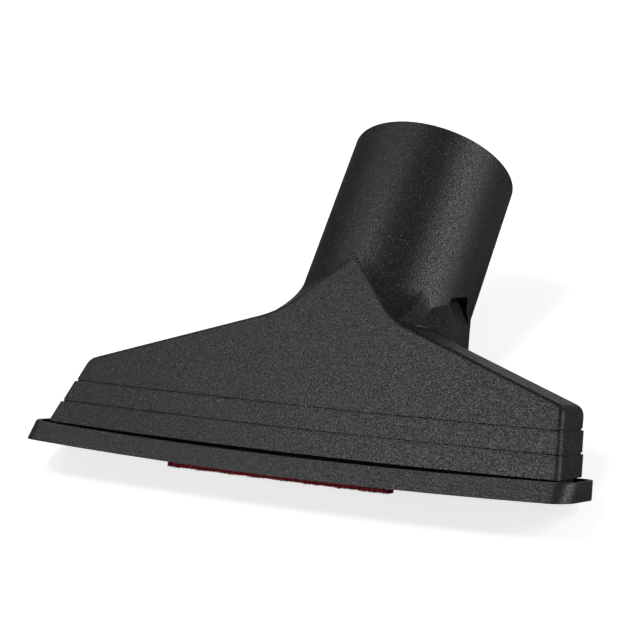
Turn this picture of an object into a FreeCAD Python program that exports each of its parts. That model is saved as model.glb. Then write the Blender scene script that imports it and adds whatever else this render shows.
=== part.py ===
# Upholstery nozzle for a vacuum cleaner, in millimetres.
# A round wand tube leans back from a wide flat mouth. One moulding holds the tube,
# the fan-shaped funnel and the flange, and two pile strips are set in its lips.
# Shapes are drawn with the mouth level, its front towards -Y, and every piece is
# then turned back about X so that the nozzle lies as it comes to rest.
import FreeCAD, Part
import math
import os
import Sketcher

doc = FreeCAD.newDocument("upholstery_nozzle")
V = FreeCAD.Vector

# Driving dimensions
sizes = doc.addObject("Spreadsheet::Sheet", "Sizes")
DIMENSIONS = [
    # Wand tube and its socket
    ("tube_od", 40.0),
    ("bore_d", 35.3),
    ("socket_depth", 38.0),
    ("stop_bore_d", 31.2),
    ("entry_chamfer", 0.8),
    ("tube_run", 83.0),
    ("tube_lean", 31.1),
    ("axis_back", 13.3),
    # Fan-shaped funnel: front outline
    ("fan_half", 65.3),
    ("fan_flare", 12.8),
    ("fan_end_height", 20.5),
    ("shoulder_fall", 18.5),
    ("apex_height", 50.6),
    ("apex_fall", 45.0),
    ("neck_radius", 22.0),
    ("fan_end_radius", 3.0),
    ("shoulder_draft", 3.5),
    # Fan-shaped funnel: section
    ("fan_depth", 13.2),
    ("fan_proud", 0.08),
    ("edge_round", 1.4),
    ("wall", 1.8),
    # Bands across the funnel
    ("band_step", 0.2),
    ("groove_width", 0.45),
    ("groove_high", 15.5),
    ("groove_low", 10.65),
    ("groove_crown", 0.6),
    ("skirt_level", 5.73),
    ("skirt_crown", 0.88),
    ("skirt_gap", 0.8),
    # Rear hull from the tube down to the mouth
    ("hull_run", 46.0),
    ("hull_root_back", 2.5),
    ("hull_inset", 0.3),
    ("heel_slope", 17.0),
    ("hull_half", 40.0),
    ("hull_foot_level", 5.0),
    ("hull_foot_back", 4.4),
    ("hull_foot_radius", 5.2),
    ("passage_root_back", 2.5),
    ("passage_half", 36.5),
    ("passage_back", 0.0),
    ("passage_radius", 1.8),
    # Recess on each side of the tube's foot
    ("relief_run", 41.5),
    ("relief_half_height", 4.8),
    ("relief_nose_half", 1.6),
    ("relief_fore", 5.0),
    ("relief_fore_low", 3.5),
    ("relief_fore_high", 4.0),
    ("relief_aft", 3.6),
    ("relief_depth", 1.6),
    ("relief_round", 1.0),
    # Flange around the mouth
    ("flange_half", 68.3),
    ("flange_front", 13.3),
    ("flange_depth", 18.5),
    ("flange_height", 4.15),
    ("flange_lean", 36.0),
    ("front_corner", 4.2),
    ("rear_corner", 4.0),
    ("lip_wall", 1.9),
    ("lip_crown", 1.4),
    ("channel_lip", 1.0),
    ("channel_depth", 0.9),
    ("ledge_wall", 1.4),
    # Ribs across the mouth
    ("rib_place", 33.0),
    ("rib_wall", 1.5),
    ("rib_set_in", 1.0),
    ("rib_top", 15.0),
    # Pile strips and their seats
    ("strip_length", 55.6),
    ("strip_width", 3.2),
    ("strip_height", 2.2),
    ("strip_proud", 0.8),
    ("strip_clearance", 0.1),
    ("seat_wall", 1.4),
    ("front_seat_wall", 1.9),
]
for row, (alias, value) in enumerate(DIMENSIONS, start=1):
    sizes.set(f"A{row}", alias)
    sizes.set(f"B{row}", str(value))
    sizes.setAlias(f"B{row}", alias)
doc.recompute()

# Construction solids reach this far past the part wherever they are trimmed later
REACH = 150.0
# Cutting tools run this far past the face they open
OVERRUN = 10.0
# A turned solid starts at this angle; its own angle is bound to the sheet
TURN = 30.0
# Lengths closer than this, and directions within it of parallel, count as equal
NEAR = 0.01


def cell(expression):
    """Writes an expression in the sheet's names as one that FreeCAD can bind."""
    words = {alias for alias, value in DIMENSIONS}
    out = ""
    word = ""
    for letter in expression + " ":
        if letter.isalnum() or letter == "_":
            word += letter
        else:
            out += "Sizes." + word if word in words else word
            out += letter
            word = ""
    return out.strip()


def bind(thing, **expressions):
    """Binds properties; a double underscore in a name stands for a dot."""
    for name, expression in expressions.items():
        thing.setExpression(name.replace("__", "."), cell(expression))


def size(expression):
    """Present value of an expression in the sheet's names."""
    result = doc.Sizes.evalExpression(cell(expression))
    return float(getattr(result, "Value", result))


# Lines and points that several pieces share
FACE_FRONT = "(axis_back - (tube_od/2 + fan_proud)/cos(tube_lean))"
FLANGE_BACK = "(flange_depth - flange_front)"
HULL_AXIS_Y = "(axis_back + hull_run*sin(tube_lean))"
HULL_AXIS_Z = "(hull_run*cos(tube_lean))"

# Rest: the nozzle lies on the rear lip's edge and on the hull's heel
HEEL_Y = f"({HULL_AXIS_Y} + tube_od/2*cos(tube_lean))"
HEEL_Z = f"({HULL_AXIS_Z} - tube_od/2*sin(tube_lean))"
REST_ANGLE = f"atan2({HEEL_Z}; {HEEL_Y} - {FLANGE_BACK})"
REST_FRONT = f"(-flange_front*cos({REST_ANGLE}))"
REST_BACK = (
    f"((axis_back + tube_run*sin(tube_lean) + tube_od/2*cos(tube_lean))*cos({REST_ANGLE})"
    f" + (tube_run*cos(tube_lean) - tube_od/2*sin(tube_lean))*sin({REST_ANGLE}))"
)


def turned(solid, axis):
    """Gives a solid its axis of rotation."""
    solid.Placement = FreeCAD.Placement(V(0, 0, 0), FreeCAD.Rotation(axis, TURN))


def lay_down(piece):
    """Turns a finished piece from the level mouth to its rest, centred over the origin."""
    turned(piece, V(-1, 0, 0))
    bind(
        piece,
        Placement__Rotation__Angle=REST_ANGLE,
        Placement__Base__y=f"-({REST_FRONT} + {REST_BACK})/2",
        Placement__Base__z=f"{FLANGE_BACK}*sin({REST_ANGLE})",
    )


def origin_plane(body, role):
    for feature in body.Origin.OriginFeatures:
        if feature.Role == role:
            return feature
    raise ValueError(role)


def polygon(body, name, role, corners):
    """Closed polygon on an origin plane, each corner held by two bound distances."""
    sketch = body.newObject("Sketcher::SketchObject", name)
    sketch.AttachmentSupport = [(origin_plane(body, role), "")]
    sketch.MapMode = "FlatFace"
    start = [V(size(x), size(y), 0) for x, y in corners]
    count = len(corners)
    for index in range(count):
        sketch.addGeometry(Part.LineSegment(start[index], start[(index + 1) % count]), False)
    for index in range(count):
        sketch.addConstraint(Sketcher.Constraint("Coincident", index, 2, (index + 1) % count, 1))
    for index, (x, y) in enumerate(corners):
        corner = start[index]
        for kind, text, value in (("DistanceX", x, corner.x), ("DistanceY", y, corner.y)):
            place = sketch.addConstraint(Sketcher.Constraint(kind, -1, 1, index, 1, value))
            sketch.setExpression(f"Constraints[{place}]", cell(text))
    return sketch


def edges_at(shape, test):
    """Names of the edges whose middle point passes a test."""
    names = []
    for number, edge in enumerate(shape.Edges, start=1):
        middle = edge.valueAt((edge.FirstParameter + edge.LastParameter)/2)
        if test(edge, middle):
            names.append(f"Edge{number}")
    return names


def along(axis):
    """Test that picks the edges parallel to an axis."""
    def test(edge, middle):
        return abs(edge.tangentAt(edge.FirstParameter).dot(axis)) > 1 - NEAR

    return test


def rounded(body, name, radius, test):
    """Fillet on the edges of the body's last feature that pass a test."""
    doc.recompute()
    base = body.Tip
    names = edges_at(base.Shape, test)
    fillet = body.newObject("PartDesign::Fillet", name)
    fillet.Base = (base, names)
    bind(fillet, Radius=radius)
    body.Tip = fillet
    return fillet


# Fan-shaped funnel, also drawn smaller for the groove floor and the hollow, and larger for the bands
def fan(name, grow):
    body = doc.addObject("PartDesign::Body", name)
    front = f"({FACE_FRONT} - ({grow})/cos(tube_lean))"
    back = f"({FACE_FRONT} + fan_depth + ({grow})/cos(tube_lean))"
    slope = "tan(tube_lean)"
    section = polygon(body, name + "_section", "YZ_Plane", [
        (f"{front} - {REACH}*{slope}", f"-{REACH}"),
        (f"{back} - {REACH}*{slope}", f"-{REACH}"),
        (f"{back} + {REACH}*{slope}", f"{REACH}"),
        (f"{front} + {REACH}*{slope}", f"{REACH}"),
    ])
    slab = body.newObject("PartDesign::Pad", name + "_slab")
    slab.Profile = section
    slab.SideType = "Symmetric"
    slab.Length = 2*REACH

    # The outline's three straight lines on each side: end wall, shoulder and apex slope
    wall_foot = f"(fan_half + ({grow})/cos(fan_flare))"
    shoulder_foot = (
        f"(fan_end_height + ({grow})/cos(shoulder_fall)"
        " + (fan_half - fan_end_height*tan(fan_flare))*tan(shoulder_fall))"
    )
    apex = f"(apex_height + ({grow})/cos(apex_fall))"
    end_x = (
        f"(({wall_foot} - {shoulder_foot}*tan(fan_flare))"
        "/(1 - tan(fan_flare)*tan(shoulder_fall)))"
    )
    end_z = f"({shoulder_foot} - {end_x}*tan(shoulder_fall))"
    neck_x = f"(({apex} - {shoulder_foot})/(tan(apex_fall) - tan(shoulder_fall)))"
    neck_z = f"({apex} - {neck_x}*tan(apex_fall))"
    low = f"(-{OVERRUN})"
    low_x = f"({wall_foot} - {low}*tan(fan_flare))"
    outline = [
        (low_x, low), (end_x, end_z), (neck_x, neck_z), ("0", apex),
        (f"-{neck_x}", neck_z), (f"-{end_x}", end_z), (f"-{low_x}", low),
    ]
    trim = polygon(body, name + "_outline", "XZ_Plane", outline)
    rim = 2*REACH
    window = [(-rim, -rim), (rim, -rim), (rim, rim), (-rim, rim)]
    for here, there in zip(window, window[1:] + window[:1]):
        trim.addGeometry(Part.LineSegment(V(*here, 0), V(*there, 0)), False)
    cut = body.newObject("PartDesign::Pocket", name + "_trim")
    cut.Profile = trim
    cut.SideType = "Symmetric"
    cut.Length = 4*REACH
    cut.UseCustomVector = True
    cut.Direction = V(0, 1, 0)
    bind(cut, Direction__y="cos(shoulder_draft)", Direction__z="-sin(shoulder_draft)")
    doc.recompute()
    body.Tip = cut

    x_end, z_end = size(end_x), size(end_z)
    x_neck, z_neck = size(neck_x), size(neck_z)

    draft = math.tan(math.radians(size("shoulder_draft")))

    def near(middle, x, z):
        return abs(abs(middle.x) - x) < NEAR and abs(middle.z + middle.y*draft - z) < NEAR

    rounded(body, name + "_neck", "neck_radius", lambda edge, middle: near(middle, x_neck, z_neck))
    rounded(body, name + "_end", "fan_end_radius", lambda edge, middle: near(middle, x_end, z_end))

    lean = math.radians(size("tube_lean"))
    faces = (size(front), size(back))

    def on_outline(edge, middle):
        foot = middle.y - middle.z*math.tan(lean)
        return min(abs(foot - face) for face in faces) < NEAR and middle.z > size(low) + NEAR

    rounded(body, name + "_edges", "edge_round", on_outline)
    return body


def crowned(name, level, crown):
    """Large cylinder along Y: all above a surface that dips by the crown from a level at its ends."""
    radius = f"((flange_half^2 + ({crown})^2)/(2*({crown})))"
    solid = doc.addObject("Part::Cylinder", name)
    solid.Height = 2*REACH
    solid.Placement = FreeCAD.Placement(V(0, 0, 0), FreeCAD.Rotation(V(-1, 0, 0), 90))
    bind(
        solid,
        Radius=radius,
        Placement__Base__y=f"-{REACH}",
        Placement__Base__z=f"({level}) - ({crown}) + {radius}",
    )
    return solid


def common(name, *solids):
    """What the solids share."""
    result = doc.addObject("Part::MultiCommon", name)
    result.Shapes = list(solids)
    return result


def fused(name, *solids):
    """The solids as one."""
    result = doc.addObject("Part::MultiFuse", name)
    result.Shapes = list(solids)
    result.Refine = True
    return result


def cut(name, base, tool):
    """The base less the tool."""
    result = doc.addObject("Part::Cut", name)
    result.Base = base
    result.Tool = tool
    result.Refine = False
    return result


def on_axis(solid, run):
    """Stands a primitive on the wand's axis, a given run up from the mouth."""
    turned(solid, V(-1, 0, 0))
    bind(
        solid,
        Placement__Rotation__Angle="tube_lean",
        Placement__Base__y=f"axis_back + ({run})*sin(tube_lean)",
        Placement__Base__z=f"({run})*cos(tube_lean)",
    )
    return solid


def axis_cylinder(name, radius, start, end):
    """Cylinder on the wand's axis between two runs."""
    solid = doc.addObject("Part::Cylinder", name)
    bind(solid, Radius=radius, Height=f"({end}) - ({start})")
    return on_axis(solid, start)


def axis_cone(name, low_radius, high_radius, start, end):
    """Cone on the wand's axis between two runs."""
    solid = doc.addObject("Part::Cone", name)
    bind(solid, Radius1=low_radius, Radius2=high_radius, Height=f"({end}) - ({start})")
    return on_axis(solid, start)


def box(name, x_low, x_high, y_low, y_high, z_low, z_high):
    """Box between bound faces."""
    solid = doc.addObject("Part::Box", name)
    bind(
        solid,
        Length=f"({x_high}) - ({x_low})",
        Width=f"({y_high}) - ({y_low})",
        Height=f"({z_high}) - ({z_low})",
        Placement__Base__x=x_low,
        Placement__Base__y=y_low,
        Placement__Base__z=z_low,
    )
    return solid


def oval(centre, across, up, half_across, half_up):
    """Oval wire in two halves that meet on its front and back."""
    frame = FreeCAD.Matrix(
        across.x, up.x, across.cross(up).x, centre.x,
        across.y, up.y, across.cross(up).y, centre.y,
        across.z, up.z, across.cross(up).z, centre.z,
    )
    halves = []
    for start in (-math.pi/2, math.pi/2):
        if half_across > half_up:
            curve = Part.Ellipse(V(0, 0, 0), half_across, half_up)
            halves.append(Part.ArcOfEllipse(curve, start, start + math.pi).toShape())
        else:
            curve = Part.Circle(V(0, 0, 0), V(0, 0, 1), half_across)
            halves.append(Part.ArcOfCircle(curve, start, start + math.pi).toShape())
    wire = Part.Wire(halves)
    wire.transformShape(frame)
    return wire


def hull(name, radius, root_back, half, foot_back, foot_radius):
    """Loft from an oval in the back of a round bar on the wand's axis to a flat oval at the mouth."""
    lean = math.radians(size("tube_lean"))
    run = size("hull_run")
    aside = size(root_back)
    inset = size("hull_inset")
    bar = size(radius)
    back = V(0, math.cos(lean), -math.sin(lean))
    across = V(1, 0, 0)
    root_centre = V(0, size("axis_back") + run*math.sin(lean), run*math.cos(lean)) + back*aside
    root = oval(root_centre, across, back, math.sqrt(bar**2 - aside**2) - inset, bar - aside - inset)
    foot_centre = V(0, size(foot_back) - size(foot_radius), size("hull_foot_level"))
    foot = oval(foot_centre, across, V(0, 1, 0), size(half), size(foot_radius))
    solid = doc.addObject("Part::Feature", name)
    solid.Shape = Part.makeLoft([foot, root], True)
    return solid


def bar_above_heel(name, radius, end, lift):
    """Round bar on the wand's axis, its foot cut off by a plane that rises to the heel."""
    bar = axis_cylinder(name + "_bar", radius, "0", end)
    room = doc.addObject("Part::Box", name + "_room")
    room.Length = 2*REACH
    room.Width = 2*REACH
    room.Height = 2*REACH
    turned(room, V(1, 0, 0))
    bind(
        room,
        Placement__Rotation__Angle="heel_slope",
        Placement__Base__x=f"-{REACH}",
        Placement__Base__y=f"{HEEL_Y} - {REACH}*cos(heel_slope)",
        Placement__Base__z=f"{HEEL_Z} + ({lift}) - {REACH}*sin(heel_slope)",
    )
    return common(name, bar, room)


def tray(name, inset):
    """Rounded block with a leaning front, as wide at the lip as the flange less an inset."""
    body = doc.addObject("PartDesign::Body", name)
    front = f"(({inset}) - flange_front)"
    back = f"({FLANGE_BACK} - ({inset}))"
    low = f"(-{OVERRUN})"
    high = f"(flange_height + {OVERRUN})"
    section = polygon(body, name + "_section", "YZ_Plane", [
        (f"{front} + {low}*tan(flange_lean)", low),
        (back, low),
        (back, high),
        (f"{front} + {high}*tan(flange_lean)", high),
    ])
    block = body.newObject("PartDesign::Pad", name + "_block")
    block.Profile = section
    block.SideType = "Symmetric"
    bind(block, Length=f"2*(flange_half - ({inset}))")
    doc.recompute()
    body.Tip = block

    def corner(edge, middle):
        return abs(edge.tangentAt(edge.FirstParameter).z) > NEAR

    rounded(
        body, name + "_front", f"front_corner - ({inset})",
        lambda edge, middle: corner(edge, middle) and middle.y < 0,
    )
    rounded(
        body, name + "_rear", f"rear_corner - ({inset})",
        lambda edge, middle: corner(edge, middle) and middle.y > 0,
    )
    return body


# Funnel walls: a recessed core, and bands that stand proud of it with grooves between
def funnel():
    core = common(
        "funnel_core",
        fan("core_fan", "-skirt_gap"),
        crowned("core_floor", "lip_crown", "lip_crown"),
    )
    floor_fan = fan("groove_floor_fan", "-band_step")
    band_fans = [fan(f"band_fan_{index}", f"{index}*band_step") for index in range(3)]
    below_high = "groove_high - groove_width"
    below_low = "groove_low - groove_width"
    return [
        core,
        layer("groove_floor", floor_fan, "skirt_level", "skirt_crown"),
        layer("band_0", band_fans[0], "groove_high", "groove_crown"),
        layer("band_0_low", band_fans[0], "skirt_level", "skirt_crown", below_high),
        layer("band_1", band_fans[1], "groove_low", "groove_crown", below_high),
        layer("band_2", band_fans[2], "skirt_level", "skirt_crown", below_low),
    ]


def layer(name, solid, floor, crown, ceiling=None):
    """The part of a fan above one crowned level and, where one is given, below another."""
    above = common(name, solid, crowned(name + "_floor", floor, crown))
    if ceiling is None:
        return above
    return cut(name + "_trimmed", above, crowned(name + "_ceiling", ceiling, "groove_crown"))


# Flange: a skirt round the mouth with a leaning front, a crowned lip and a channel in its top
LEDGE = "(flange_height + lip_crown)"


def flange():
    lip = crowned("flange_lip", "lip_crown", "lip_crown")
    above_lip = common("flange_above_lip", tray("flange_block", "0"), lip)
    solid = cut("flange_solid", above_lip, crowned("flange_ledge", LEDGE, "lip_crown"))
    channel = common(
        "channel",
        tray("channel_block", "channel_lip"),
        crowned("channel_floor", f"{LEDGE} - channel_depth", "lip_crown"),
    )
    return cut("flange", solid, channel)


# Air way: socket, stop, passage, hollow funnel and the space inside the flange
def air_way():
    above = f"(tube_run + {OVERRUN})"
    socket = axis_cylinder("socket", "bore_d/2", "tube_run - socket_depth", above)
    entry = axis_cone(
        "socket_entry", "bore_d/2", f"bore_d/2 + entry_chamfer + {OVERRUN}",
        "tube_run - entry_chamfer", above,
    )
    neck = bar_above_heel("stop_bore", "stop_bore_d/2", "tube_run", "wall")
    passage = hull(
        "passage", "stop_bore_d/2", "passage_root_back",
        "passage_half", "passage_back", "passage_radius",
    )
    hollow = common(
        "funnel_hollow",
        fan("hollow_fan", "-wall"),
        crowned("hollow_floor", "0", "lip_crown"),
    )
    skirt = cut(
        "mouth_space",
        tray("mouth_block", "lip_wall"),
        crowned("mouth_ceiling", f"{LEDGE} - channel_depth - ledge_wall", "lip_crown"),
    )
    return socket, entry, neck, passage, hollow, skirt


# Lands inside the lips that carry the strips' seats
LAND_DEPTH = "(strip_width + 2*strip_clearance + 2*seat_wall)"
LAND_HALF = "(strip_length/2 + strip_clearance + seat_wall)"
SEAT_CEILING = "(strip_height - strip_proud)"
FRONT_SEAT = "(front_seat_wall - flange_front)"


def land(name, y_low, y_high):
    return box(name, f"-{LAND_HALF}", LAND_HALF, y_low, y_high, f"-{OVERRUN}", LEDGE)


def seat(name, y_low):
    half = "(strip_length/2 + strip_clearance)"
    y_high = f"{y_low} + strip_width + 2*strip_clearance"
    return box(name, f"-{half}", half, y_low, y_high, f"-{OVERRUN}", SEAT_CEILING)


# Ribs across the slot keep cloth out of the funnel
def rib(name, side):
    x = f"({side}*rib_place)"
    return box(
        name, f"{x} - rib_wall/2", f"{x} + rib_wall/2",
        "-flange_front", f"{FLANGE_BACK} + fan_depth", "rib_set_in", "rib_top",
    )


# Recess on the hull's side, drawn flat and then leant to the hull's flare
HULL_ROOT = "(sqrt((tube_od/2)^2 - hull_root_back^2) - hull_inset)"
HULL_FLARE = f"(({HULL_ROOT} - hull_half)/({HULL_AXIS_Z} - hull_foot_level))"


def relief(name, side):
    body = doc.addObject("PartDesign::Body", name)
    outline = polygon(body, name + "_outline", "YZ_Plane", [
        ("-relief_fore", "relief_nose_half"),
        ("-relief_fore_low", "-relief_nose_half"),
        ("relief_aft - relief_round", "-relief_half_height"),
        ("relief_aft", "relief_half_height"),
        ("-relief_fore_high", "relief_half_height"),
    ])
    block = body.newObject("PartDesign::Pad", name + "_block")
    block.Profile = outline
    block.Reversed = side < 0
    bind(block, Length="tube_od/2")
    doc.recompute()
    body.Tip = block
    rounded(body, name + "_round", "relief_round", along(V(1, 0, 0)))
    level = "(relief_run*cos(tube_lean))"
    turned(body, V(0, -side, 0))
    wall_x = f"({HULL_ROOT} + {HULL_FLARE}*({level} - {HULL_AXIS_Z}))"
    bind(
        body,
        Placement__Rotation__Angle=f"-atan({HULL_FLARE})",
        Placement__Base__x=f"{side}*({wall_x} - relief_depth)",
        Placement__Base__y="axis_back + relief_run*sin(tube_lean)",
        Placement__Base__z=level,
    )
    return body


# The one moulding
def nozzle_body():
    tube = bar_above_heel("tube", "tube_od/2", "tube_run", "0")
    rear = hull(
        "hull", "tube_od/2", "hull_root_back",
        "hull_half", "hull_foot_back", "hull_foot_radius",
    )
    outside = fused("outside", tube, rear, flange(), *funnel())

    lands = [
        land("land_front", "-flange_front", f"{FRONT_SEAT} + strip_width + 2*strip_clearance + seat_wall"),
        land("land_rear", f"{FLANGE_BACK} - {LAND_DEPTH}", FLANGE_BACK),
    ]
    ribs = [rib("rib_left", -1), rib("rib_right", 1)]
    *upper, skirt = air_way()
    below = cut("mouth_space_open", skirt, fused("lands", *lands))
    void = cut("air_way", fused("air_way_full", below, *upper), fused("ribs", *ribs))
    hollow = cut("hollow_body", outside, void)

    tools = [
        seat("seat_front", FRONT_SEAT),
        seat("seat_rear", f"({FLANGE_BACK} - {LAND_DEPTH} + seat_wall)"),
        relief("relief_left", -1),
        relief("relief_right", 1),
    ]
    body = cut("nozzle_body_cut", hollow, fused("seats_and_reliefs", *tools))
    body.Label = "nozzle_body"
    lay_down(body)
    return body


# Pile strip: a straight bar glued in its seat, proud of the lip
def pile_strip(name, y_low):
    strip = doc.addObject("PartDesign::Body", name)
    strip.Label = name
    half = "strip_length/2"
    y_high = f"{y_low} + strip_width"
    outline = polygon(strip, name + "_outline", "XY_Plane", [
        (f"-{half}", y_low), (half, y_low), (half, y_high), (f"-{half}", y_high),
    ])
    bind(outline, AttachmentOffset__Base__z=f"{SEAT_CEILING} - strip_height")
    pad = strip.newObject("PartDesign::Pad", name + "_pad")
    pad.Profile = outline
    bind(pad, Length="strip_height")
    doc.recompute()
    strip.Tip = pad
    lay_down(strip)
    return strip


pieces = [
    nozzle_body(),
    pile_strip("pile_strip_front", f"({FRONT_SEAT} + strip_clearance)"),
    pile_strip("pile_strip_rear", f"({FLANGE_BACK} - seat_wall - strip_clearance - strip_width)"),
]
doc.recompute()

# Nothing is written unless the whole document is sound
for thing in doc.Objects:
    if "Invalid" in thing.State or "Error" in thing.State:
        raise RuntimeError(f"{thing.Label} did not build: {thing.State}")
os.makedirs("parts", exist_ok=True)
for piece in pieces:
    shape = piece.Shape
    if shape.isNull() or not shape.isValid() or len(shape.Solids) != 1:
        raise RuntimeError(f"{piece.Label} is not one sound solid")
for piece in pieces:
    piece.Shape.exportStep(f"parts/{piece.Label}.step")
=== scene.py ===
# Looks of the vacuum upholstery nozzle, in metres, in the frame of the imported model.
# Many places and sizes are given in the mouth's own frame, in millimetres. Its origin lies
# midway between the mouth's ends, level with the lips and 13.3 behind the flange's front.
# +Z runs up from the mouth and -Y is the front. The nozzle lies turned back from that frame.
import math
import random

import bmesh
import bpy
from mathutils import Matrix, Vector
from mathutils.bvhtree import BVHTree


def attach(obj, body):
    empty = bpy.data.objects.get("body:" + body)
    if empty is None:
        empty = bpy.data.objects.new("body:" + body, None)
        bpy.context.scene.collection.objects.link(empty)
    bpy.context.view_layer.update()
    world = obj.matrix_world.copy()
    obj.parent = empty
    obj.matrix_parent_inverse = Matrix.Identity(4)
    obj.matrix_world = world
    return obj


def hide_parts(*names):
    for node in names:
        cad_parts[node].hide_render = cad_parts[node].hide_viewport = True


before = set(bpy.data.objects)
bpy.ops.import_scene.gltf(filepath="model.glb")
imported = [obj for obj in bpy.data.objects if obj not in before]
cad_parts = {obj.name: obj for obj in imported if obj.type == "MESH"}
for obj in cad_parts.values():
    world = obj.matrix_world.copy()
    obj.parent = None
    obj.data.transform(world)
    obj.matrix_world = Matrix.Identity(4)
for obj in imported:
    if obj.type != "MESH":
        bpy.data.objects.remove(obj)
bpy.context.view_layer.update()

# Tube's axis in the mouth's frame: how far behind the origin it starts, and how many
# degrees it leans back
TUBE_BACK = 13.3
TUBE_LEAN = 31.1

# Turn from the mouth's frame to the rest frame
REST_TURN = Matrix.Rotation(math.radians(-30.675724), 3, "X")
REST_SHIFT = Vector((0, -41.295022, 2.652929))


def place(x, y, z):
    """Point of the mouth's frame, in millimetres, as a point of the scene."""
    return (REST_TURN @ Vector((x, y, z)) + REST_SHIFT)/1000


def add_object(name, data):
    """New object of the scene around a camera, a lamp or a mesh."""
    made = bpy.data.objects.new(name, data)
    bpy.context.scene.collection.objects.link(made)
    return made


# Camera, fitted to the photograph in the mouth's frame
CAMERA_TURN = math.radians(29.131)
CAMERA_RISE = math.radians(1.497)
CAMERA_ROLL = math.radians(3.909)
CAMERA_AWAY = 461.689
CAMERA_ASIDE = 2.162
CAMERA_UP = 33.951
FOCAL_PIXELS = 2084.8
IMAGE_PIXELS = 640
SENSOR_MM = 36

back = Vector((
    math.sin(CAMERA_TURN)*math.cos(CAMERA_RISE),
    -math.cos(CAMERA_TURN)*math.cos(CAMERA_RISE),
    math.sin(CAMERA_RISE),
))
level = Vector((math.cos(CAMERA_TURN), math.sin(CAMERA_TURN), 0))
rise = back.cross(level)
spot = back*CAMERA_AWAY + level*CAMERA_ASIDE + rise*CAMERA_UP
right = REST_TURN @ (level*math.cos(CAMERA_ROLL) + rise*math.sin(CAMERA_ROLL))
upward = REST_TURN @ (rise*math.cos(CAMERA_ROLL) - level*math.sin(CAMERA_ROLL))
toward = REST_TURN @ back

lens = bpy.data.cameras.new("view_camera")
lens.sensor_fit = "HORIZONTAL"
lens.sensor_width = SENSOR_MM
lens.lens = FOCAL_PIXELS*SENSOR_MM/IMAGE_PIXELS
lens.clip_start = 0.01
lens.clip_end = 20
camera = add_object("view_camera", lens)
axes = Matrix((right, upward, toward)).transposed().to_4x4()
camera.matrix_world = Matrix.Translation(place(*spot)) @ axes
bpy.context.scene.camera = camera


# Node helpers

# The Mix node repeats its socket names for each kind of data; these numbers are for colours
MIX_FACTOR = 0
MIX_FIRST = 6
MIX_SECOND = 7
MIX_RESULT = 2


def new_material(name):
    """Empty node material with its output, ready to build on."""
    material = bpy.data.materials.new(name)
    material.use_nodes = True
    material.node_tree.nodes.clear()
    output = material.node_tree.nodes.new("ShaderNodeOutputMaterial")
    return material, material.node_tree, output


def node(tree, kind, inputs=None, **settings):
    """Adds a node, sets its options and fills or links its inputs."""
    made = tree.nodes.new(kind)
    for key, value in settings.items():
        setattr(made, key, value)
    for key, value in (inputs or {}).items():
        socket = made.inputs[key]
        if isinstance(value, bpy.types.NodeSocket):
            tree.links.new(value, socket)
        else:
            socket.default_value = value
    return made


def ramp(tree, factor, stops):
    """Colour ramp with the given stops, each a position and a colour."""
    made = node(tree, "ShaderNodeValToRGB", {"Fac": factor})
    bands = made.color_ramp.elements
    while len(bands) < len(stops):
        bands.new(0.5)
    for band, (position, colour) in zip(bands, stops):
        band.position = position
        band.color = (*colour, 1)
    return made.outputs["Color"]


def grey(value):
    """Colour with the same red, green and blue."""
    return (value, value, value)


def noise(tree, where, scale, detail=3.0, roughness=0.55):
    """Cloudy noise between 0 and 1; its scale is about the number of clouds in a metre."""
    return node(tree, "ShaderNodeTexNoise", {
        "Vector": where, "Scale": scale, "Detail": detail, "Roughness": roughness,
    }).outputs["Fac"]


def blend_colours(tree, kind, factor, first, second):
    """Second colour blended into the first."""
    return node(tree, "ShaderNodeMix", {
        MIX_FACTOR: factor, MIX_FIRST: first, MIX_SECOND: second,
    }, data_type="RGBA", blend_type=kind).outputs[MIX_RESULT]


def calculate(tree, operation, *values):
    """Result of one operation on one or two numbers."""
    return node(tree, "ShaderNodeMath", dict(enumerate(values)), operation=operation).outputs[0]


def distance_along(tree, where, point, direction):
    """Distance of each place from a point, in metres, along a direction of the mouth's frame."""
    way = REST_TURN @ Vector(direction)
    along = node(tree, "ShaderNodeVectorMath", {0: where, 1: way}, operation="DOT_PRODUCT")
    return calculate(tree, "SUBTRACT", along.outputs["Value"], place(*point).dot(way))


# Materials

# Seam down the tube's sides, in metres: the half width of its line, with and without the
# soft edge, and the run along the tube's axis over which it fades in
SEAM_CORE = 0.00003
SEAM_EDGE = 0.00013
SEAM_START = 0.047
SEAM_FULL = 0.049


def parting_line(tree, where):
    """Mask of the fine seam that the mould leaves down each side of the tube."""
    foot = (0, TUBE_BACK, 0)
    lean = math.radians(TUBE_LEAN)
    off = distance_along(tree, where, foot, (0, -math.cos(lean), math.sin(lean)))
    seam = node(tree, "ShaderNodeMapRange", {
        "Value": calculate(tree, "ABSOLUTE", off),
        "From Min": SEAM_CORE, "From Max": SEAM_EDGE, "To Min": 1.0, "To Max": 0.0,
    }).outputs["Result"]
    run = distance_along(tree, where, foot, (0, math.sin(lean), math.cos(lean)))
    above = node(tree, "ShaderNodeMapRange", {
        "Value": run, "From Min": SEAM_START, "From Max": SEAM_FULL,
    }).outputs["Result"]
    return calculate(tree, "MULTIPLY", seam, above)


# Colours of the moulding and of its seam
PLASTIC_DARK = (0.0072, 0.0072, 0.0077)
PLASTIC_LIGHT = (0.0104, 0.0104, 0.0110)
SEAM_COLOUR = (0.030, 0.030, 0.030, 1)


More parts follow.
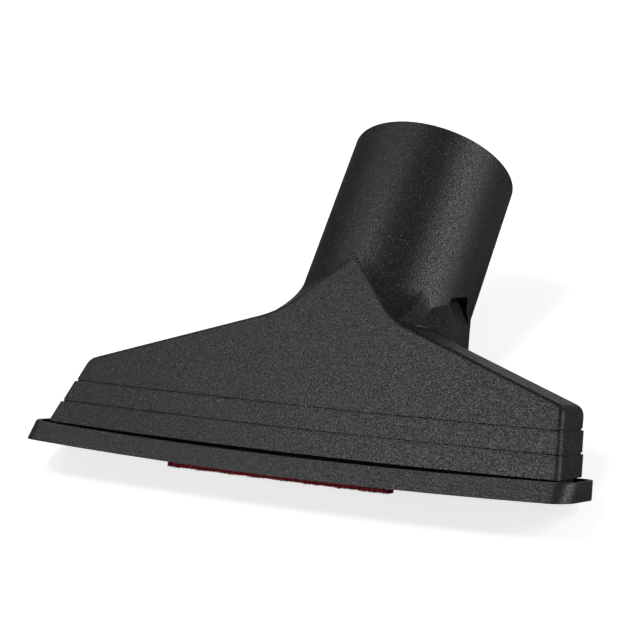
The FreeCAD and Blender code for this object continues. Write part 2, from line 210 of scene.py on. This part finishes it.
def eroded_plastic():
    """Black moulding with a spark-eroded grain, painted glints, and a painted highlight that makes its
    edges a little paler.
    """
    material, tree, output = new_material("black_moulding")
    where = node(tree, "ShaderNodeTexCoord").outputs["Object"]
    cloud = noise(tree, where, scale=55.0, detail=4.0, roughness=0.6)
    grain = noise(tree, where, scale=2500.0, detail=2.0, roughness=0.7)
    pits = node(tree, "ShaderNodeTexVoronoi", {
        "Vector": where, "Scale": 2600.0, "Randomness": 1.0,
    }, feature="F1").outputs["Distance"]
    # Noise that places the painted glints
    glint_noise = noise(tree, where, scale=3400.0, detail=1.0, roughness=0.5)

    tone = ramp(tree, cloud, [(0.25, PLASTIC_DARK), (0.75, PLASTIC_LIGHT)])
    speckle = ramp(tree, grain, [(0.42, grey(0.0)), (0.62, grey(2.8))])
    toned = blend_colours(tree, "MULTIPLY", 1.0, tone, speckle)
    # Painted glints: sparse pale specks added to the base colour stand in for light sparkling off the
    # grain
    glint = ramp(tree, glint_noise, [(0.63, grey(0.0)), (0.78, grey(0.190))])
    with_painted_glints = blend_colours(tree, "ADD", 1.0, toned, glint)
    # Painted highlight: convex edges, found by pointiness, are made a little paler as if they caught
    # the light
    edge = ramp(tree, node(tree, "ShaderNodeNewGeometry").outputs["Pointiness"], [
        (0.515, grey(0.0)), (0.56, grey(0.008)),
    ])
    with_edge_highlight = blend_colours(tree, "ADD", 1.0, with_painted_glints, edge)
    colour = blend_colours(tree, "ADD", parting_line(tree, where), with_edge_highlight, SEAM_COLOUR)

    rough = ramp(tree, grain, [(0.36, grey(0.60)), (0.66, grey(0.24))])
    coarse = node(tree, "ShaderNodeBump", {
        "Strength": 0.25, "Distance": 0.00012, "Height": cloud,
    })
    pitted = node(tree, "ShaderNodeBump", {
        "Strength": 0.30, "Distance": 0.00004, "Height": pits, "Normal": coarse.outputs["Normal"],
    })
    fine = node(tree, "ShaderNodeBump", {
        "Strength": 0.85, "Distance": 0.00009, "Height": grain, "Normal": pitted.outputs["Normal"],
    })
    shader = node(tree, "ShaderNodeBsdfPrincipled", {
        "Base Color": colour,
        "Roughness": rough,
        "IOR": 1.48,
        "Specular IOR Level": 0.45,
        "Normal": fine.outputs["Normal"],
    })
    tree.links.new(shader.outputs["BSDF"], output.inputs["Surface"])
    return material


PILE_DEEP = (0.150, 0.004, 0.012)
PILE_RED = (0.460, 0.013, 0.038)
PILE_PALE = (0.800, 0.120, 0.160)


def red_pile():
    """Short dense red fibres, with darker and lighter strands among them."""
    material, tree, output = new_material("red_pile")
    where = node(tree, "ShaderNodeTexCoord").outputs["Object"]
    strand = noise(tree, where, scale=2400.0, detail=2.0, roughness=0.6)
    patch = noise(tree, where, scale=260.0, detail=3.0, roughness=0.5)
    tone = ramp(tree, strand, [(0.34, PILE_DEEP), (0.54, PILE_RED), (0.72, PILE_PALE)])
    shade = ramp(tree, patch, [(0.3, grey(0.75)), (0.7, grey(1.15))])
    colour = blend_colours(tree, "MULTIPLY", 1.0, tone, shade)
    fuzz = node(tree, "ShaderNodeBump", {
        "Strength": 0.5, "Distance": 0.0001, "Height": strand,
    })
    shader = node(tree, "ShaderNodeBsdfPrincipled", {
        "Base Color": colour,
        "Roughness": 0.85,
        "Sheen Weight": 0.12,
        "Sheen Roughness": 0.4,
        "Sheen Tint": (0.80, 0.25, 0.30, 1),
        "Normal": fuzz.outputs["Normal"],
    })
    tree.links.new(shader.outputs["BSDF"], output.inputs["Surface"])
    return material


BACKING_DARK = (0.010, 0.008, 0.008)
BACKING_LIGHT = (0.028, 0.020, 0.021)


def woven_backing():
    """Dark ribbon that carries the pile, woven in narrow ribs."""
    material, tree, output = new_material("dark_backing")
    where = node(tree, "ShaderNodeTexCoord").outputs["Object"]
    ribs = node(tree, "ShaderNodeTexWave", {
        "Vector": where, "Scale": 900.0, "Distortion": 0.6, "Detail": 1.0,
    }, wave_type="BANDS", bands_direction="X").outputs["Fac"]
    threads = noise(tree, where, scale=1800.0, detail=2.0)
    tone = ramp(tree, ribs, [(0.2, BACKING_DARK), (0.8, BACKING_LIGHT)])
    shade = ramp(tree, threads, [(0.3, grey(0.8)), (0.7, grey(1.2))])
    colour = blend_colours(tree, "MULTIPLY", 1.0, tone, shade)
    weave = node(tree, "ShaderNodeBump", {
        "Strength": 0.6, "Distance": 0.00008, "Height": ribs,
    })
    shader = node(tree, "ShaderNodeBsdfPrincipled", {
        "Base Color": colour,
        "Roughness": 0.9,
        "Normal": weave.outputs["Normal"],
    })
    tree.links.new(shader.outputs["BSDF"], output.inputs["Surface"])
    return material


PLASTIC = eroded_plastic()
PILE = red_pile()
BACKING = woven_backing()

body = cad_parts["nozzle_body"]
body.data.materials.clear()
body.data.materials.append(PLASTIC)


def add_piece(name, mesh, materials):
    """Object made of a finished mesh."""
    data = bpy.data.meshes.new(name)
    mesh.to_mesh(data)
    mesh.free()
    for material in materials:
        data.materials.append(material)
    return add_object(name, data)


# Coves that ease the funnel's upper edge into the tube

# Where each begins and ends, from the nozzle's middle, and how soon it thins out before its end
COVE_INNER = 1.6
COVE_OUTER = 19.2
COVE_FADE = 3.4
# How far it climbs the tube: at least, more for each millimetre of step, and at most
COVE_LEAST = 2.4
COVE_GROWTH = 0.5
COVE_MOST = 7.0
# How far its foot drops for each millimetre that its front lies behind the face
COVE_SINK = 0.07
# How far it laps over the face and the tube, stands proud of them, and dips in at both ends
COVE_LAP = 0.05
COVE_PROUD = 0.02
COVE_DIP = 0.01
COVE_THICKNESS = 0.6
# Its rows lie closer together near the foot
COVE_CROWDING = 1.5
COVE_COLUMNS = 72
COVE_ROWS = 16
# The funnel's edge is looked for between two heights: there the front falls back from the
# face by a share of the step, or by a set drop where that is less
EDGE_LOWEST = 28.0
EDGE_HIGHEST = 50.0
EDGE_SHARE = 0.5
EDGE_DROP = 0.7
EDGE_HALVINGS = 20
# Rays start in front of the nozzle
RAY_START = -80
AXIS_SLOPE = math.tan(math.radians(TUBE_LEAN))

skin = BVHTree.FromPolygons(
    [corner.co.copy() for corner in body.data.vertices],
    [tuple(face.vertices) for face in body.data.polygons],
)


def depth(x, z):
    """Depth of the moulding's front at a place, less the slope that face and tube share."""
    *_, distance = skin.ray_cast(place(x, RAY_START, z), REST_TURN @ Vector((0, 1, 0)))
    return distance*1000 + RAY_START - AXIS_SLOPE*z


def funnel_edge(x, face_depth, step):
    """Height of the funnel's upper edge, just before the front falls back to the tube."""
    low, high = EDGE_LOWEST, EDGE_HIGHEST
    for _ in range(EDGE_HALVINGS):
        middle = (low + high)/2
        if depth(x, middle) > face_depth + min(EDGE_SHARE*step, EDGE_DROP):
            high = middle
        else:
            low = middle
    return low


def cove_section(x):
    """Points up one section of a cove, each a pair: its hollow front and its hidden back."""
    face_depth = depth(x, EDGE_LOWEST)
    step = depth(x, EDGE_HIGHEST) - face_depth
    edge = funnel_edge(x, face_depth, step)
    fade = min(1, (COVE_OUTER - abs(x))/COVE_FADE)
    top = edge + (min(COVE_MOST, COVE_LEAST + COVE_GROWTH*step)*fade + COVE_LAP)
    edge_depth = depth(x, edge - COVE_LAP)
    end = depth(x, top)
    start = end + (edge_depth - end)*fade
    foot = edge - COVE_LAP - COVE_SINK*(start - edge_depth)
    section = []
    for j in range(COVE_ROWS + 1):
        share = (j/COVE_ROWS)**COVE_CROWDING
        z = foot + (top - foot)*share
        solid = depth(x, z)
        curve = start + (end - start)*(1 - (1 - share)**2)
        lift = COVE_PROUD if 0 < j < COVE_ROWS else -COVE_DIP
        front = (min(curve, solid) if z > edge else curve) - lift
        behind = max(front, solid) + COVE_THICKNESS
        section.append([place(x, y + AXIS_SLOPE*z, z) for y in (front, behind)])
    return section


def cove(name, side):
    """Closed sliver with a hollow front, from the funnel's upper edge to the tube's flank."""
    mesh = bmesh.new()
    fronts = []
    backs = []
    for i in range(COVE_COLUMNS + 1):
        off = COVE_INNER + (COVE_OUTER - COVE_INNER)*i/COVE_COLUMNS
        corners = [[mesh.verts.new(point) for point in pair] for pair in cove_section(side*off)]
        fronts.append([front for front, _ in corners])
        backs.append([behind for _, behind in corners])
    smooth = []
    for i in range(COVE_COLUMNS):
        for j in range(COVE_ROWS):
            smooth.append(mesh.faces.new((
                fronts[i][j], fronts[i + 1][j], fronts[i + 1][j + 1], fronts[i][j + 1],
            )))
            mesh.faces.new((backs[i][j], backs[i][j + 1], backs[i + 1][j + 1], backs[i + 1][j]))
        for j in (0, COVE_ROWS):
            mesh.faces.new((fronts[i][j], backs[i][j], backs[i + 1][j], fronts[i + 1][j]))
    for i in (0, COVE_COLUMNS):
        for j in range(COVE_ROWS):
            mesh.faces.new((fronts[i][j], fronts[i][j + 1], backs[i][j + 1], backs[i][j]))
    for face in smooth:
        face.smooth = True
    for edge in mesh.edges:
        if sum(face.smooth for face in edge.link_faces) == 1:
            edge.smooth = False
    bmesh.ops.recalc_face_normals(mesh, faces=mesh.faces)
    piece = add_piece(name, mesh, [PLASTIC])
    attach(piece, "root")


cove("neck_cove_left", -1)
cove("neck_cove_right", 1)


# Pile strips: a woven backing, a solid core of pile under it and tufts that stand out of both
STRIP_HALF = 27.8
STRIP_WIDTH = 3.2
BACKING_LOW = 0.8
BACKING_HIGH = 1.4
CORE_INSET = 0.15
CORE_SHORT = 0.35
CORE_CROWN = 0.1
BLOCK_COLUMNS = 56
BLOCK_ROWS = 7
# Tufts: their spacing, their radius at both ends, how far they start inside the backing, and
# how far the rows keep from the strip's ends and sides
TUFT_GAP = 0.30
TUFT_ROOT = 0.15
TUFT_TIP = 0.05
TUFT_BURIED = 0.1
TUFT_SIDES = 4
TUFT_END_MARGIN = 0.25
TUFT_SIDE_MARGIN = 0.2
# How far chance moves a tuft along and across the strip, leans it and changes its tip
SCATTER_ALONG = 0.08
SCATTER_ACROSS = 0.05
LEAN_ALONG = 0.22
LEAN_ACROSS = 0.05
TIP_SPREAD = (-0.02, 0.14)
# The tips lie this much above their lowest place, in a long and a short wave
TIP_RISE = 0.10
LONG_WAVE = 0.06
LONG_WAVE_RATE = 0.9
SHORT_WAVE = 0.04
SHORT_WAVE_RATE = 2.3
# Difference in lean between the tufts at the strip's two sides
SPLAY = 0.25
# Order of the strip's materials
PILE_INDEX = 0
BACKING_INDEX = 1


def add_block(mesh, x_half, y_low, y_high, z_low, z_high, index, crown=0.0):
    """Adds a long block whose lower face may bulge down along its middle."""
    grid = []
    for i in range(BLOCK_COLUMNS + 1):
        x = -x_half + 2*x_half*i/BLOCK_COLUMNS
        line = []
        for j in range(BLOCK_ROWS):
            t = j/(BLOCK_ROWS - 1)
            bulge = crown*math.sin(math.pi*t)
            line.append(mesh.verts.new(place(x, y_low + (y_high - y_low)*t, z_low - bulge)))
        for t in (1, 0):
            line.append(mesh.verts.new(place(x, y_low + (y_high - y_low)*t, z_high)))
        grid.append(line)
    around = BLOCK_ROWS + 2
    for i in range(BLOCK_COLUMNS):
        for j in range(around):
            k = (j + 1) % around
            face = mesh.faces.new((grid[i][j], grid[i][k], grid[i + 1][k], grid[i + 1][j]))
            face.material_index = index
    for line in (grid[0], list(reversed(grid[-1]))):
        face = mesh.faces.new(list(reversed(line)))
        face.material_index = index


def add_tuft(mesh, x, y, lean_x, lean_y, tip, turn):
    """Adds one tapered tuft of fibres from the backing down to its tip."""
    rings = []
    for z, radius, share in ((BACKING_LOW + TUFT_BURIED, TUFT_ROOT, 0.0), (tip, TUFT_TIP, 1.0)):
        ring = []
        for k in range(TUFT_SIDES):
            angle = turn + 2*math.pi*k/TUFT_SIDES
            ring.append(mesh.verts.new(place(
                x + lean_x*share + radius*math.cos(angle),
                y + lean_y*share + radius*math.sin(angle),
                z,
            )))
        rings.append(ring)
    for k in range(TUFT_SIDES):
        other = (k + 1) % TUFT_SIDES
        face = mesh.faces.new((rings[0][other], rings[0][k], rings[1][k], rings[1][other]))
        face.material_index = PILE_INDEX
    for ring in (rings[0], list(reversed(rings[1]))):
        face = mesh.faces.new(ring)
        face.material_index = PILE_INDEX


def pile_strip(name, replaced, y_low, tip_low, seed):
    """Ribbon backing with a core of pile and separate tufts standing out of it."""
    chance = random.Random(seed)
    mesh = bmesh.new()
    y_high = y_low + STRIP_WIDTH
    add_block(mesh, STRIP_HALF, y_low, y_high, BACKING_LOW, BACKING_HIGH, BACKING_INDEX)
    add_block(
        mesh, STRIP_HALF - CORE_INSET, y_low + CORE_INSET, y_high - CORE_INSET,
        tip_low + CORE_SHORT, BACKING_LOW, PILE_INDEX, CORE_CROWN,
    )
    length = 2*(STRIP_HALF - TUFT_END_MARGIN)
    width = STRIP_WIDTH - 2*TUFT_SIDE_MARGIN
    along = int(length/TUFT_GAP)
    across = int(width/TUFT_GAP)
    for i in range(along + 1):
        for j in range(across + 1):
            x = -STRIP_HALF + TUFT_END_MARGIN + length*i/along
            y = y_low + TUFT_SIDE_MARGIN + width*j/across
            x += chance.uniform(-SCATTER_ALONG, SCATTER_ALONG)
            y += chance.uniform(-SCATTER_ACROSS, SCATTER_ACROSS)
            wave = LONG_WAVE*math.sin(x*LONG_WAVE_RATE + seed) + SHORT_WAVE*math.sin(x*SHORT_WAVE_RATE)
            tip = tip_low + TIP_RISE + wave + chance.uniform(*TIP_SPREAD)
            lean_x = chance.uniform(-LEAN_ALONG, LEAN_ALONG)
            lean_y = (j/across - 0.5)*SPLAY + chance.uniform(-LEAN_ACROSS, LEAN_ACROSS)
            add_tuft(mesh, x, y, lean_x, lean_y, max(tip, tip_low), chance.uniform(0, math.pi))
    mesh.normal_update()
    strip = add_piece(name, mesh, [PILE, BACKING])
    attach(strip, "root")
    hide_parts(replaced)


pile_strip("pile_front", "pile_strip_front", y_low=-11.3, tip_low=-1.25, seed=3)
pile_strip("pile_rear", "pile_strip_rear", y_low=0.5, tip_low=-0.8, seed=8)


# Floor and lights

# The camera sees the floor white, while it throws little light up on the nozzle
FLOOR_SIZE = 12
FLOOR_UNSEEN = (0.20, 0.20, 0.20, 1)
FLOOR_SEEN = (0.90, 0.90, 0.90, 1)
FLOOR_GLOW = 0.74
WORLD_STRENGTH = 0.07


def floor():
    """Wide pale floor under the nozzle."""
    material, tree, output = new_material("pale_floor")
    seen = node(tree, "ShaderNodeLightPath").outputs["Is Camera Ray"]
    colour = blend_colours(tree, "MIX", seen, FLOOR_UNSEEN, FLOOR_SEEN)
    shader = node(tree, "ShaderNodeBsdfPrincipled", {
        "Base Color": colour,
        "Roughness": 0.9,
        "Specular IOR Level": 0.1,
        "Emission Color": (1, 1, 1, 1),
        "Emission Strength": calculate(tree, "MULTIPLY", seen, FLOOR_GLOW),
    })
    tree.links.new(shader.outputs["BSDF"], output.inputs["Surface"])
    bpy.ops.mesh.primitive_plane_add(size=FLOOR_SIZE, location=(0, 0, 0))
    plane = bpy.context.active_object
    plane.name = "floor"
    plane.data.materials.append(material)


def lamp(name, at, size, power, aim=(0, 10, 30)):
    """Area lamp, placed and aimed in the mouth's frame, with its size in metres."""
    light = bpy.data.lights.new(name, "AREA")
    light.shape = "RECTANGLE"
    light.size, light.size_y = size
    light.energy = power
    holder = add_object(name, light)
    where = place(*at)
    holder.location = where
    facing = (place(*aim) - where).normalized()
    holder.rotation_euler = facing.to_track_quat("-Z", "Y").to_euler()


floor()
lamp("lamp_key", (-140, -325, 410), size=(0.16, 0.16), power=0.78, aim=(35, -5, 20))
lamp("lamp_left", (-640, -260, 640), size=(0.35, 0.35), power=0.55)
lamp("lamp_right", (880, 150, 420), size=(0.25, 0.80), power=4.8)
lamp("lamp_back", (-330, 900, 480), size=(0.90, 0.40), power=3.0)
lamp("lamp_low", (-300, -520, -60), size=(0.30, 0.30), power=0.6, aim=(0, -12, 0))

world = bpy.data.worlds.new("studio")
bpy.context.scene.world = world
world.use_nodes = True
backdrop = world.node_tree.nodes["Background"]
backdrop.inputs["Color"].default_value = (1, 1, 1, 1)
backdrop.inputs["Strength"].default_value = WORLD_STRENGTH

bpy.context.scene.view_settings.view_transform = "Standard"

bpy.context.view_layer.update()
